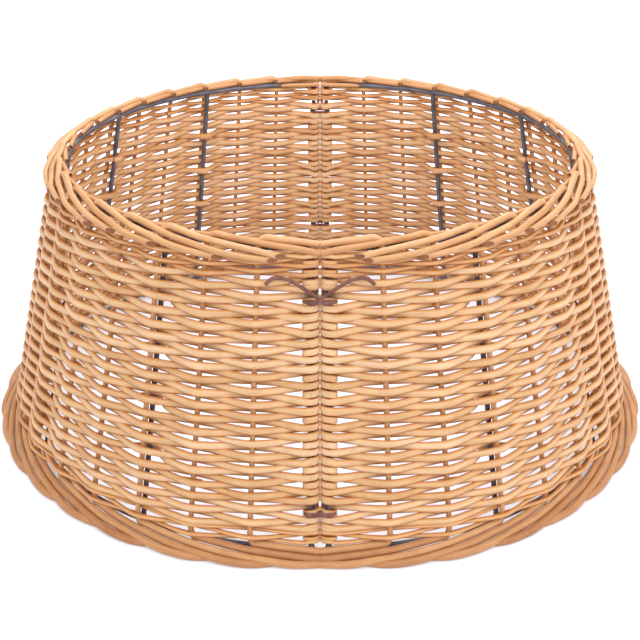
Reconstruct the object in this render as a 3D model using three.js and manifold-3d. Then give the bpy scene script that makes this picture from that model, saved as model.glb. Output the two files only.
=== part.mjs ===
// Wicker christmas tree collar. Two half panels, each a welded steel frame that carries
// willow stakes, randed weaving, wales and two rolled borders, laced together with leather
// at the front and back seams. Millimetres, +Z up, front seam at -Y, lowest point at z = 0.
import * as THREE from 'three';
import Module from 'manifold-3d';
import { mergeVertices } from 'three/addons/utils/BufferGeometryUtils.js';

const wasm = await Module();
wasm.setup();

// Cone that both welded frames follow
const bottomRailRadius = 320;
const topRailRadius = 260.7;
const bottomRailHeight = 8;
const topRailHeight = 275;
const seamToEdgeRod = 7.8;

// Rod sizes and the clearance between pieces that touch
const steelRadius = 2.5;
const stakeThickness = 4.4;
const weaverThickness = 3.4;
const weaverHeight = 5.2;
const waleThickness = 3.2;
const waleHeight = 3.5;
const laceThickness = 1.2;
const laceWidth = 2.8;
const pieceClearance = 0.56;

// Counts
const bays = 18;
const baysPerSteelUpright = 3;
const stakesPerPanel = bays - 1;
const bandPairs = [4, 7, 7, 1];
const bottomWaleRows = 2;
const topWaleRows = 3;
const wrapSteps = 3;
const steelSides = 6;

// Heights of the weaving
const firstRowHeight = 29.6;
const rowPitch = 5.9;
const bottomWaleStart = 20.4;
const topWaleStart = 253.4;
const walePitch = 4.2;

// Rolled borders: each tail drops one step and moves out one step for each bay
const borderDrop = 5.9;
const borderStepOut = 5.8;
const topBorderRise = 8.7;
const bottomBorderStart = 14;
const borderBendReach = 9;
const bottomBendRise = 2.8;
const topBendDrop = 9;
const topTailBays = 2.7;
const bottomTailBays = 2.6;
const tailEndToSeam = 1.2;
const shortestTailShare = 0.3;
const fillerStartShare = 0.2;
const fillerStepShare = 0.6;
const bendShares = [[1, 0], [0, 1]];

// Rows above which each lace passes, counted from the bottom
const frontLaceRows = [3, 35];
const backLaceRows = [7, 35];
const slotSpreadRows = 3.5;
const slotClearance = 0.4;
const slotReachShares = [1, 0.4];

// How far out the stakes stand from the edge rods inwards, as shares of their full offset
const edgeEaseShares = [0, 0.54, 0.9, 1];

// Front laces
const frontLaceRadius = 6;
const frontLaceStart = THREE.MathUtils.degToRad(55);
const frontLaceTurn = THREE.MathUtils.degToRad(315);
const frontLaceSteps = 9;
const knotWidth = 7.4;
const knotHeight = 6;
const knotDepth = 2.6;
const knotSeatOut = 5.8;
const tailAcross = [6.5, 12, 19.5, 28.5, 35.5, 41, 45.5];
const tailRise = [6, 12.5, 17.5, 20.6, 20.4, 17.5, 12.5];

// Colours
const willowColour = 0xe2b274;
const stakeColour = 0xcf9c63;
const waleColour = 0xd9a668;
const steelColour = 0x4b484f;
const leatherColour = 0x784b40;

// Sections in shares of thickness and height. The weaver is flat where it bears on the
// stakes and ridged on its open side, as a split rod is.
const weaverSectionShares = [[-0.5, -0.5], [0.5, 0], [-0.5, 0.5]];
const squareSectionShares = [[-0.5, -0.5], [0.5, -0.5], [0.5, 0.5], [-0.5, 0.5]];

// Sizes that follow from those above
const rowCount = 2 * bandPairs.reduce((sum, pairs) => sum + pairs, 0);
const frameHeight = topRailHeight - bottomRailHeight;
const topBorderHeight = topRailHeight + topBorderRise;
const lean = (bottomRailRadius - topRailRadius) / frameHeight;
const wallUp = Math.atan(lean);
const shortestBay = topRailRadius * Math.PI / bays;

// Distance from a stake's centre to the centre of a rod that passes it
function passOffset(thickness) {
  const straight = stakeThickness / 2 + pieceClearance + thickness / 2;
  return straight / (1 - stakeThickness / shortestBay);
}

const stakeOffset = steelRadius + pieceClearance + weaverThickness / 2 + passOffset(weaverThickness);

// Distance of the stakes from the steel cone: it eases in towards the edge rods
function stakeOut(place) {
  const near = Math.max(Math.min(place, bays - place), 0);
  const low = Math.min(Math.floor(near), edgeEaseShares.length - 1);
  const high = Math.min(low + 1, edgeEaseShares.length - 1);
  return stakeOffset * THREE.MathUtils.lerp(edgeEaseShares[low], edgeEaseShares[high], near - low);
}

function steelRadiusAt(height) {
  return bottomRailRadius - (height - bottomRailHeight) * lean;
}

// Angle from the front seam at a place counted in bays, which runs past the edge rods at
// 0 and at the last bay
function angleAt(place, radius) {
  const edge = Math.asin(seamToEdgeRod / radius);
  return edge + place * (Math.PI - 2 * edge) / bays;
}

// Point on the right panel: place in bays, distance out from the steel cone, height
function wallPoint(place, out, height) {
  const steel = steelRadiusAt(height);
  const angle = angleAt(place, steel);
  const radius = steel + out;
  return new THREE.Vector3(radius * Math.sin(angle), -radius * Math.cos(angle), height);
}

// Direction up the wall at a place
function upAt(place) {
  const angle = angleAt(place, bottomRailRadius);
  const inward = new THREE.Vector3(-Math.sin(angle), Math.cos(angle), 0);
  return inward.multiplyScalar(Math.sin(wallUp)).add(new THREE.Vector3(0, 0, Math.cos(wallUp)));
}

function outwardAt(place) {
  const angle = angleAt(place, bottomRailRadius);
  return new THREE.Vector3(Math.sin(angle), -Math.cos(angle), 0);
}

// Direction square to the wall, outwards
function normalAt(place) {
  const outward = outwardAt(place).multiplyScalar(Math.cos(wallUp));
  return outward.add(new THREE.Vector3(0, 0, Math.sin(wallUp)));
}

// The same at a seam, kept parallel to the seam plane
function seamNormal(place) {
  const sign = Math.sign(place - bays / 2);
  return new THREE.Vector3(0, sign * Math.cos(wallUp), Math.sin(wallUp));
}

// Sweeps a section along points. Each point has a position and a direction, and the
// section's height lies along that direction. The ends are capped unless it is a ring.
function sweep(path, section, thickness, height, ring = false) {
  const sides = section.length;
  const count = path.length;
  const positions = [];
  for (let i = 0; i < count; i += 1) {
    const before = ring ? path[(i + count - 1) % count].at : path[Math.max(i - 1, 0)].at;
    const after = ring ? path[(i + 1) % count].at : path[Math.min(i + 1, count - 1)].at;
    const here = path[i].at;
    const back = new THREE.Vector3().subVectors(here, before).normalize();
    const ahead = new THREE.Vector3().subVectors(after, here).normalize();
    const along = back.add(ahead).normalize();
    const across = new THREE.Vector3().crossVectors(path[i].up, along).normalize();
    const up = new THREE.Vector3().crossVectors(along, across).normalize();
    for (const [acrossShare, upShare] of section) {
      const corner = here.clone();
      corner.addScaledVector(across, acrossShare * thickness);
      corner.addScaledVector(up, upShare * height);
      positions.push(corner.x, corner.y, corner.z);
    }
  }
  const index = [];
  const spans = ring ? count : count - 1;
  for (let i = 0; i < spans; i += 1) {
    const next = (i + 1) % count;
    for (let s = 0; s < sides; s += 1) {
      const t = (s + 1) % sides;
      const a = i * sides + s;
      const b = i * sides + t;
      const c = next * sides + t;
      const d = next * sides + s;
      index.push(a, b, c, a, c, d);
    }
  }
  if (!ring) {
    const last = (count - 1) * sides;
    for (let s = 1; s < sides - 1; s += 1) {
      index.push(0, s + 1, s);
      index.push(last, last + s, last + s + 1);
    }
  }
  const geometry = new THREE.BufferGeometry();
  geometry.setAttribute('position', new THREE.Float32BufferAttribute(positions, 3));
  geometry.setIndex(index);
  return geometry;
}

// Joins closed geometries into one solid
function join(geometries) {
  const solids = geometries.map((geometry) => {
    const bare = geometry.clone();
    bare.deleteAttribute('normal');
    bare.deleteAttribute('uv');
    const merged = mergeVertices(bare);
    return new wasm.Manifold(new wasm.Mesh({
      numProp: 3,
      vertProperties: new Float32Array(merged.attributes.position.array),
      triVerts: new Uint32Array(merged.index.array),
    }));
  });
  const result = wasm.Manifold.union(solids).getMesh();
  const geometry = new THREE.BufferGeometry();
  geometry.setAttribute('position', new THREE.Float32BufferAttribute(result.vertProperties, 3));
  geometry.setIndex(Array.from(result.triVerts));
  return geometry;
}

// Welded frame: two rails bent round the half cone, and seven uprights between them
function roundSection(sides) {
  const points = [];
  for (let i = 0; i < sides; i += 1) {
    const angle = 2 * Math.PI * (i + 0.5) / sides;
    points.push([Math.cos(angle) / 2, Math.sin(angle) / 2]);
  }
  return points;
}

function frameGeometry() {
  const section = roundSection(steelSides);
  const pieces = [];
  for (const height of [bottomRailHeight, topRailHeight]) {
    const path = [];
    for (let k = 0; k <= bays; k += 1) {
      path.push({ at: wallPoint(k, 0, height), up: upAt(k) });
    }
    pieces.push(sweep(path, section, 2 * steelRadius, 2 * steelRadius));
  }
  for (let k = 0; k <= bays; k += baysPerSteelUpright) {
    const low = { at: wallPoint(k, 0, bottomRailHeight), up: outwardAt(k) };
    const high = { at: wallPoint(k, 0, topRailHeight), up: outwardAt(k) };
    pieces.push(sweep([low, high], section, 2 * steelRadius, 2 * steelRadius));
  }
  return join(pieces);
}

// Willow stake: its tip and butt are turned down outside the stakes in front of it
function tailPlaces(stake, bayCount) {
  const longest = stake + (seamToEdgeRod - tailEndToSeam) / (bottomRailRadius * Math.PI / bays);
  const end = Math.min(bayCount, longest);
  const places = [];
  for (let p = 1; p < end - shortestTailShare; p += 1) {
    places.push(p);
  }
  places.push(end);
  return places;
}

function stakeGeometry(stake) {
  const bend = borderBendReach / (bottomRailRadius * Math.PI / bays);
  const path = [];
  const bottomLevel = stakeThickness / 2;
  for (const p of tailPlaces(stake, bottomTailBays).reverse()) {
    const height = Math.max(bottomBorderStart - borderDrop * p, bottomLevel);
    const out = stakeOut(stake - p) + borderStepOut * p;
    path.push({ at: wallPoint(stake - p, out, height), up: outwardAt(stake - p) });
  }
  for (const [side, rise] of bendShares) {
    const p = side * bend;
    const low = bottomBorderStart - borderDrop * p + rise * bottomBendRise;
    const out = stakeOut(stake - p) + borderStepOut * p;
    path.push({ at: wallPoint(stake - p, out, low), up: outwardAt(stake - p) });
  }
  for (const [side, drop] of bendShares.slice().reverse()) {
    const p = side * bend;
    const high = topBorderHeight - borderDrop * p - drop * topBendDrop;
    const out = stakeOut(stake - p) + borderStepOut * p;
    path.push({ at: wallPoint(stake - p, out, high), up: outwardAt(stake - p) });
  }
  for (const p of tailPlaces(stake, topTailBays)) {
    const out = stakeOut(stake - p) + borderStepOut * Math.min(p, 1);
    const height = topBorderHeight - borderDrop * p;
    path.push({ at: wallPoint(stake - p, out, height), up: outwardAt(stake - p) });
  }
  return sweep(path, squareSectionShares, stakeThickness, stakeThickness);
}

// Filler rod: closes a border between the last stake and the back seam
function fillerGeometry(bottom) {
  const path = [];
  const places = tailPlaces(bays, bottom ? bottomTailBays : topTailBays);
  for (const p of [fillerStartShare, ...places]) {
    const step = bottom ? Math.max(p, fillerStepShare) : THREE.MathUtils.clamp(p, fillerStepShare, 1);
    const out = stakeOut(bays - p) + borderStepOut * step;
    const height = bottom
      ? Math.max(bottomBorderStart - borderDrop * p, stakeThickness / 2)
      : topBorderHeight - borderDrop * p;
    path.push({ at: wallPoint(bays - p, out, height), up: outwardAt(bays - p) });
  }
  return sweep(path, squareSectionShares, stakeThickness, stakeThickness);
}

// Height of a row at a place: rows part at the edge rods to let the laces through
const slotOpening = laceWidth + 2 * slotClearance - (rowPitch - weaverHeight);

function slotShift(row, place) {
  const fromFront = Math.round(place);
  const fromBack = Math.round(bays - place);
  const near = Math.min(fromFront, fromBack);
  if (near >= slotReachShares.length) {
    return 0;
  }
  const laces = fromFront < fromBack ? frontLaceRows : backLaceRows;
  let shift = 0;
  for (const lace of laces) {
    const away = row - lace - 0.5;
    const share = Math.max(1 - (Math.abs(away) - 0.5) / slotSpreadRows, 0);
    shift += Math.sign(away) * share * slotReachShares[near] * slotOpening / 2;
  }
  return shift;
}

function rowHeight(row, place) {
  return firstRowHeight + rowPitch * row + slotShift(row, place);
}

function bottomWaleHeight(row, place) {
  return bottomWaleStart + walePitch * row + slotShift(row - bottomWaleRows, place);
}

function topWaleHeight(row, place) {
  return topWaleStart + walePitch * row + slotShift(row + rowCount, place);
}

// Half turn round an edge rod, from its outer side past the seam to its inner side
function wrapPoints(place, lowHeight, highHeight, thickness) {
  const radius = (steelRadius + pieceClearance + thickness / 2) / Math.cos(Math.PI / 2 / wrapSteps);
  const points = [];
  for (let i = 0; i <= wrapSteps; i += 1) {
    const turn = Math.PI / 2 - Math.PI * i / wrapSteps;
    const at = wallPoint(place, 0, THREE.MathUtils.lerp(lowHeight, highHeight, i / wrapSteps));
    at.x -= radius * Math.cos(turn);
    at.addScaledVector(seamNormal(place), radius * Math.sin(turn));
    points.push({ at, up: upAt(place) });
  }
  return points;
}

// Weaving run: one rod that goes forward outside the edge rods and back inside them, in
// front of one stake and behind the next, and turns round an edge rod between rows
function weavingRun(firstRow, rows, heightOf, thickness, height) {
  const offset = passOffset(thickness);
  const path = [];
  for (let r = 0; r < rows; r += 1) {
    const row = firstRow + r;
    const forward = r % 2 === 0;
    for (let i = 1; i < bays; i += 1) {
      const k = forward ? bays - i : i;
      const outside = (k % 2 === 0) === forward;
      const at = wallPoint(k, stakeOut(k), heightOf(row, k));
      at.addScaledVector(normalAt(k), outside ? offset : -offset);
      path.push({ at, up: upAt(k) });
    }
    const end = forward ? 0 : bays;
    if (r < rows - 1) {
      const turn = forward
        ? wrapPoints(end, heightOf(row, end), heightOf(row + 1, end), thickness)
        : wrapPoints(end, heightOf(row + 1, end), heightOf(row, end), thickness).reverse();
      path.push(...turn);
    } else {
      const stop = wrapPoints(end, heightOf(row, end), heightOf(row, end), thickness);
      path.push(forward ? stop[0] : stop[wrapSteps]);
    }
  }
  const start = wrapPoints(bays, heightOf(firstRow, bays), heightOf(firstRow, bays), thickness);
  path.unshift(start[0]);
  return sweep(path, weaverSectionShares, thickness, height);
}

// Closed leather loop round both back edge rods
function laceHeight(row, place) {
  return (rowHeight(row, place) + rowHeight(row + 1, place)) / 2;
}

function backLoopGeometry(row) {
  const height = laceHeight(row, bays);
  const radius = (steelRadius + pieceClearance + laceThickness / 2) / Math.cos(Math.PI / 2 / wrapSteps);
  const path = [];
  for (const side of [1, -1]) {
    for (let i = 0; i <= wrapSteps; i += 1) {
      const turn = Math.PI / 2 - Math.PI * i / wrapSteps;
      const at = wallPoint(bays, 0, height);
      at.x = side * (at.x + radius * Math.cos(turn));
      at.addScaledVector(seamNormal(bays), side * radius * Math.sin(turn));
      path.push({ at, up: upAt(bays) });
    }
  }
  return sweep(path, squareSectionShares, laceThickness, laceWidth, true);
}

// Front lace: round its own edge rod, out to the knot, and for the upper one a free tail
function frontLaceGeometry(row, withTail) {
  const height = laceHeight(row, 0);
  const up = upAt(0);
  const path = [];
  for (let i = 0; i <= frontLaceSteps; i += 1) {
    const turn = frontLaceStart - frontLaceTurn * i / frontLaceSteps;
    const at = wallPoint(0, 0, height);
    at.x -= frontLaceRadius * Math.cos(turn);
    at.addScaledVector(seamNormal(0), frontLaceRadius * Math.sin(turn));
    path.push({ at, up });
  }
  if (withTail) {
    const surface = stakeOut(1) + passOffset(weaverThickness) + weaverThickness / 2;
    const nearSurface = frontLaceRadius + laceThickness + pieceClearance;
    const bayLength = steelRadiusAt(height) * Math.PI / bays;
    for (let i = 0; i < tailAcross.length; i += 1) {
      const place = (tailAcross[i] - seamToEdgeRod) / bayLength;
      const share = Math.min(Math.max(place, 0), 1);
      const out = THREE.MathUtils.lerp(nearSurface, surface, share) + laceThickness + pieceClearance;
      path.push({ at: wallPoint(place, out, height + tailRise[i]), up });
    }
  }
  return sweep(path, squareSectionShares, laceThickness, laceWidth);
}

function knotGeometry(row) {
  const height = laceHeight(row, 0);
  const geometry = new THREE.IcosahedronGeometry(knotWidth / 2, 1);
  geometry.scale(1, knotDepth / knotWidth, knotHeight / knotWidth);
  const at = wallPoint(0, knotSeatOut, height);
  geometry.translate(0, at.y, at.z);
  return mergeBare(geometry);
}

function mergeBare(geometry) {
  const bare = geometry.clone();
  bare.deleteAttribute('normal');
  bare.deleteAttribute('uv');
  return mergeVertices(bare);
}

// Mirror of a right-hand piece
function mirrored(geometry) {
  const copy = geometry.clone();
  copy.scale(-1, 1, 1);
  const index = copy.index.array;
  for (let i = 0; i < index.length; i += 3) {
    const swap = index[i];
    index[i] = index[i + 1];
    index[i + 1] = swap;
  }
  return copy;
}

const collar = new THREE.Group();
const panels = { right: new THREE.Group(), left: new THREE.Group() };
collar.add(panels.right, panels.left);

function addMesh(group, name, geometry, colour, roughness, metalness) {
  geometry.computeVertexNormals();
  const material = new THREE.MeshStandardMaterial({ color: colour, roughness, metalness });
  const mesh = new THREE.Mesh(geometry, material);
  mesh.name = name;
  group.add(mesh);
}

// Puts a piece on the right panel and its mirror image on the left one
function addPair(name, geometry, colour, roughness, metalness) {
  addMesh(panels.right, `right_${name}`, geometry, colour, roughness, metalness);
  addMesh(panels.left, `left_${name}`, mirrored(geometry), colour, roughness, metalness);
}

addPair('frame', frameGeometry(), steelColour, 0.45, 0.7);

for (let stake = 1; stake <= stakesPerPanel; stake += 1) {
  const name = `stake_${String(stake).padStart(2, '0')}`;
  addPair(name, stakeGeometry(stake), stakeColour, 0.55, 0);
}

addPair('bottom_border_filler', fillerGeometry(true), stakeColour, 0.55, 0);
addPair('top_border_filler', fillerGeometry(false), stakeColour, 0.55, 0);

let firstRow = 0;
for (let band = 0; band < bandPairs.length; band += 1) {
  const rows = 2 * bandPairs[band];
  const run = weavingRun(firstRow, rows, rowHeight, weaverThickness, weaverHeight);
  addPair(`weaving_${band + 1}`, run, willowColour, 0.5, 0);
  firstRow += rows;
}

const bottomWale = weavingRun(0, bottomWaleRows, bottomWaleHeight, waleThickness, waleHeight);
const topWale = weavingRun(0, topWaleRows, topWaleHeight, waleThickness, waleHeight);
addPair('bottom_wale', bottomWale, waleColour, 0.55, 0);
addPair('top_wale', topWale, waleColour, 0.55, 0);

addPair('front_lower_lace', frontLaceGeometry(frontLaceRows[0], false), leatherColour, 0.8, 0);
addPair('front_upper_lace', frontLaceGeometry(frontLaceRows[1], true), leatherColour, 0.8, 0);
addMesh(panels.right, 'front_lower_knot', knotGeometry(frontLaceRows[0]), leatherColour, 0.8, 0);
addMesh(panels.right, 'front_upper_knot', knotGeometry(frontLaceRows[1]), leatherColour, 0.8, 0);
addMesh(panels.left, 'back_lower_tie', backLoopGeometry(backLaceRows[0]), leatherColour, 0.8, 0);
addMesh(panels.left, 'back_upper_tie', backLoopGeometry(backLaceRows[1]), leatherColour, 0.8, 0);

// The frame's origin is on the floor in the middle of the collar's footprint
collar.updateMatrixWorld(true);
const box = new THREE.Box3().setFromObject(collar, true);
collar.position.set(0, -(box.min.y + box.max.y) / 2, -box.min.z);

export default collar;
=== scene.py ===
import math
import random
import bpy
import numpy as np
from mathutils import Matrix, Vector


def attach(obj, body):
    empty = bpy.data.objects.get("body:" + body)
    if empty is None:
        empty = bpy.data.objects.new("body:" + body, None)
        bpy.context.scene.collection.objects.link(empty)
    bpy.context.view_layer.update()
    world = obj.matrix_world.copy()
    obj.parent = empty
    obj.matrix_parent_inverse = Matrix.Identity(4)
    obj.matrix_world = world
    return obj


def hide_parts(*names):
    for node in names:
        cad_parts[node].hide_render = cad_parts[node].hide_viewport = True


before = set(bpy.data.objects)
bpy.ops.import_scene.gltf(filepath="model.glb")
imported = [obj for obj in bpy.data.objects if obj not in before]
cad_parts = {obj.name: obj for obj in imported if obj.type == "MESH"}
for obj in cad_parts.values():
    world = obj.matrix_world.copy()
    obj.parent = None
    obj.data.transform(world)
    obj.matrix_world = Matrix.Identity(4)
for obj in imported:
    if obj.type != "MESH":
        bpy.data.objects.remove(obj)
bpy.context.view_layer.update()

# Camera: a small studio camera in front of the laced seam, looking down into the collar
# from a little over twice its height, as a catalogue picture of one is taken.
CAMERA_PLACE = (0, -1.2436, 0.6912)
CAMERA_TILT = math.radians(64.99)
camera_data = bpy.data.cameras.new("camera")
camera_data.sensor_width = 36
camera_data.lens = 70.81
camera_data.shift_y = -0.0357
camera = bpy.data.objects.new("camera", camera_data)
camera.location = CAMERA_PLACE
camera.rotation_euler = (CAMERA_TILT, 0, 0)
bpy.context.collection.objects.link(camera)
bpy.context.scene.camera = camera
bpy.context.scene.view_settings.view_transform = "Standard"

# Floor: a plain matt studio floor, pale and a little blue. The camera and gloss see it
# lifted towards white, less so near the collar, where its soft shadow lies.
FLOOR_HALF = 6
FLOOR_COLOUR = (0.79, 0.82, 0.94, 1)
WHITE = (1, 1, 1, 1)
LIFT_FROM = 0.45
LIFT_TO = 1.6
LIFT_NEAR = 0.3
LIFT_FAR = 0.9


def node_material(name, roughness, metallic=0.0):
    material = bpy.data.materials.new(name)
    material.use_nodes = True
    tree = material.node_tree
    shader = tree.nodes["Principled BSDF"]
    shader.inputs["Roughness"].default_value = roughness
    shader.inputs["Metallic"].default_value = metallic
    return material, tree, shader


def seen_directly(tree):
    """1 for rays that come from the camera or from gloss, and 0 for all others."""
    path = tree.nodes.new("ShaderNodeLightPath")
    seen = tree.nodes.new("ShaderNodeMath")
    seen.operation = "MAXIMUM"
    tree.links.new(path.outputs["Is Camera Ray"], seen.inputs[0])
    tree.links.new(path.outputs["Is Glossy Ray"], seen.inputs[1])
    return seen.outputs[0]


bpy.ops.object.select_all(action="DESELECT")
bpy.ops.mesh.primitive_plane_add(size=2 * FLOOR_HALF, location=(0, 0, 0))
floor = bpy.context.object
floor.name = "studio_floor"
floor_material, floor_tree, floor_shader = node_material("floor_paint", 0.9)
floor_shader.inputs["Base Color"].default_value = FLOOR_COLOUR
floor_glow = floor_tree.nodes.new("ShaderNodeEmission")
floor_glow.inputs["Color"].default_value = WHITE
floor_lift = floor_tree.nodes.new("ShaderNodeMath")
floor_lift.operation = "MULTIPLY"
floor_place = floor_tree.nodes.new("ShaderNodeTexCoord")
floor_far = floor_tree.nodes.new("ShaderNodeVectorMath")
floor_far.operation = "LENGTH"
floor_tree.links.new(floor_place.outputs["Object"], floor_far.inputs[0])
floor_fade = floor_tree.nodes.new("ShaderNodeMapRange")
for socket, value in (("From Min", LIFT_FROM), ("From Max", LIFT_TO),
                      ("To Min", LIFT_NEAR), ("To Max", LIFT_FAR)):
    floor_fade.inputs[socket].default_value = value
floor_tree.links.new(floor_far.outputs["Value"], floor_fade.inputs["Value"])
floor_tree.links.new(floor_fade.outputs["Result"], floor_lift.inputs[1])
floor_tree.links.new(seen_directly(floor_tree), floor_lift.inputs[0])
floor_tree.links.new(floor_lift.outputs[0], floor_glow.inputs["Strength"])
floor_sum = floor_tree.nodes.new("ShaderNodeAddShader")
floor_tree.links.new(floor_shader.outputs[0], floor_sum.inputs[0])
floor_tree.links.new(floor_glow.outputs[0], floor_sum.inputs[1])
floor_tree.links.new(floor_sum.outputs[0], floor_tree.nodes["Material Output"].inputs["Surface"])
floor.data.materials.append(floor_material)

# Sky: an even pale sky all round, as light thrown back by studio walls. Where the camera
# or gloss sees it, it is plain white, which makes the backdrop.
SKY_STRENGTH = 0.93
sky = bpy.data.worlds.new("sky")
bpy.context.scene.world = sky
sky.use_nodes = True
sky_tree = sky.node_tree
sky_light = sky_tree.nodes["Background"]
sky_light.inputs["Color"].default_value = WHITE
sky_light.inputs["Strength"].default_value = SKY_STRENGTH
sky_back = sky_tree.nodes.new("ShaderNodeBackground")
sky_back.inputs["Color"].default_value = WHITE
sky_back.inputs["Strength"].default_value = 1
sky_mix = sky_tree.nodes.new("ShaderNodeMixShader")
sky_tree.links.new(seen_directly(sky_tree), sky_mix.inputs[0])
sky_tree.links.new(sky_light.outputs[0], sky_mix.inputs[1])
sky_tree.links.new(sky_back.outputs[0], sky_mix.inputs[2])
sky_tree.links.new(sky_mix.outputs[0], sky_tree.nodes["World Output"].inputs["Surface"])

# Lamps: five soft square lamps. The key lamp stands high in front on the left, a small one
# lights the back wall from inside the rim, and the others soften the shadows.
for name, place, target, size, power in (
        ("key_lamp", (-1.0, -3.8, 3.2), (0, 0, 0.1), 2.2, 44),
        ("inner_lamp", (0, -0.15, 0.6), (0, 0.33, 0.3), 0.4, 1.3),
        ("top_lamp", (0, -0.3, 2.2), (0, 0.1, 0), 1.2, 7),
        ("fill_lamp", (1.4, -1.1, 1.1), (0, 0, 0.1), 1.2, 8),
        ("back_lamp", (0.3, 1.5, 1.7), (0, 0, 0.2), 1.4, 18)):
    lamp_data = bpy.data.lights.new(name, "AREA")
    lamp_data.energy = power
    lamp_data.size = size
    lamp = bpy.data.objects.new(name, lamp_data)
    lamp.location = place
    aim = Vector(target) - Vector(place)
    lamp.rotation_euler = aim.to_track_quat("-Z", "Y").to_euler()
    bpy.context.collection.objects.link(lamp)

# Welded steel frames: in each half the wall's cone is carried by a top and a bottom rail
# of 5 mm rod and seven uprights butt-welded between them, sprayed dark grey.
# SHIFT takes a point of the drawing, which starts in the middle of the rings, to the packed
# frame, which starts in the middle of the part's box, on the floor.
MM = 0.001
SHIFT = np.array([0, 6.13368, 0.01806]) * MM
FOOT_RADIUS = 320 * MM
RIM_RADIUS = 260.7 * MM
FOOT_RAIL = 8 * MM
RIM_RAIL = 275 * MM
SEAM_TO_ROD = 7.8 * MM
STEEL_RADIUS = 2.5 * MM
BAYS = 18
BAYS_PER_UPRIGHT = 3
LEAN = (FOOT_RADIUS - RIM_RADIUS) / (RIM_RAIL - FOOT_RAIL)
BEAD_LENGTH = 3 * MM
BEAD_START = 1.2 * MM
BEAD_FLARE = 1 * MM
BEAD_LIP = 0.05 * MM
RAIL_SEGMENTS = 240
ROD_SIDES = 16
SMOOTH_ANGLE = math.radians(40)


def steel_radius(z):
    return FOOT_RADIUS - (z - FOOT_RAIL) * LEAN


def angle_at(place, radius):
    edge = np.arcsin(SEAM_TO_ROD / radius)
    return edge + place * (math.pi - 2 * edge) / BAYS


def wall(place, out, z):
    """Points on the right half: place in bays from the front edge rod, distance out from
    the steel cone, height above the floor of the drawing."""
    place, out, z = np.broadcast_arrays(*(np.asarray(v, float) for v in (place, out, z)))
    steel = steel_radius(z)
    angle = angle_at(place, steel)
    radius = steel + out
    return np.stack([radius * np.sin(angle), -radius * np.cos(angle), z], -1) + SHIFT


def mirror_copy(source, name):
    """The left half's piece: the same mesh seen in a mirror on the seam plane."""
    copy = source.copy()
    copy.data = source.data.copy()
    copy.name = name
    copy.data.name = name
    bpy.context.collection.objects.link(copy)
    coords = np.empty(len(copy.data.vertices) * 3, np.float32)
    copy.data.vertices.foreach_get("co", coords)
    coords[0::3] *= -1
    copy.data.vertices.foreach_set("co", coords)
    copy.data.flip_normals()
    copy.data.update()
    return copy


def place_pair(right, name, node):
    """Puts a right-hand piece and its mirror image on their halves in place of the nodes."""
    left = mirror_copy(right, "left_" + name)
    right.name = "right_" + name
    right.data.name = right.name
    for side, piece in (("right", right), ("left", left)):
        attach(piece, side + "_panel")
        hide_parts(f"{side}_{node}")


def add_noise(tree, vector, scale, detail, roughness=0.5, stretch=None):
    """A noise pattern on the given vector output, stretched along its axes."""
    if stretch:
        mapping = tree.nodes.new("ShaderNodeMapping")
        mapping.inputs["Scale"].default_value = stretch
        tree.links.new(vector, mapping.inputs["Vector"])
        vector = mapping.outputs["Vector"]
    noise = tree.nodes.new("ShaderNodeTexNoise")
    noise.inputs["Scale"].default_value = scale
    noise.inputs["Detail"].default_value = detail
    noise.inputs["Roughness"].default_value = roughness
    tree.links.new(vector, noise.inputs["Vector"])
    return noise.outputs["Fac"]


def add_ramp(tree, value, stops):
    ramp = tree.nodes.new("ShaderNodeValToRGB")
    while len(ramp.color_ramp.elements) < len(stops):
        ramp.color_ramp.elements.new(0.5)
    for element, (position, colour) in zip(ramp.color_ramp.elements, stops):
        element.position = position
        element.color = (*colour, 1)
    tree.links.new(value, ramp.inputs["Fac"])
    return ramp.outputs["Color"]


def add_mix(tree, factor, a, b, kind="MIX"):
    mix = tree.nodes.new("ShaderNodeMix")
    mix.data_type = "RGBA"
    mix.blend_type = kind
    for socket, value in ((mix.inputs[0], factor), (mix.inputs[6], a), (mix.inputs[7], b)):
        if isinstance(value, (int, float)):
            socket.default_value = value
        elif isinstance(value, tuple):
            socket.default_value = (*value, 1)
        else:
            tree.links.new(value, socket)
    return mix.outputs[2]


def add_bump(tree, height, strength, distance, shader):
    bump = tree.nodes.new("ShaderNodeBump")
    bump.inputs["Strength"].default_value = strength
    bump.inputs["Distance"].default_value = distance
    tree.links.new(height, bump.inputs["Height"])
    tree.links.new(bump.outputs["Normal"], shader.inputs["Normal"])


def to_linear(red, green, blue):
    """A colour read as 0 to 255 on a screen, as the linear light that a shader takes."""
    shares = (c / 255 for c in (red, green, blue))
    return tuple(c / 12.92 if c <= 0.04045 else ((c + 0.055) / 1.055) ** 2.4 for c in shares)


steel_material, steel_tree, steel_shader = node_material("grey_frame_paint", 0.42, 0.35)
steel_place = steel_tree.nodes.new("ShaderNodeTexCoord").outputs["Object"]
steel_patches = add_noise(steel_tree, steel_place, 60, 5, 0.6)
steel_colour = add_ramp(steel_tree, steel_patches, (
    (0.3, to_linear(76, 74, 84)), (0.55, to_linear(98, 96, 106)), (0.75, to_linear(120, 114, 120))))
steel_specks = add_noise(steel_tree, steel_place, 420, 3, 0.6)
steel_rust = add_ramp(steel_tree, steel_specks, ((0.66, (0, 0, 0)), (0.74, (1, 1, 1))))
steel_colour = add_mix(steel_tree, steel_rust, steel_colour, to_linear(104, 70, 52))
steel_tree.links.new(steel_colour, steel_shader.inputs["Base Color"])
add_bump(steel_tree, steel_specks, 0.25, 0.3 * MM, steel_shader)

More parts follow.
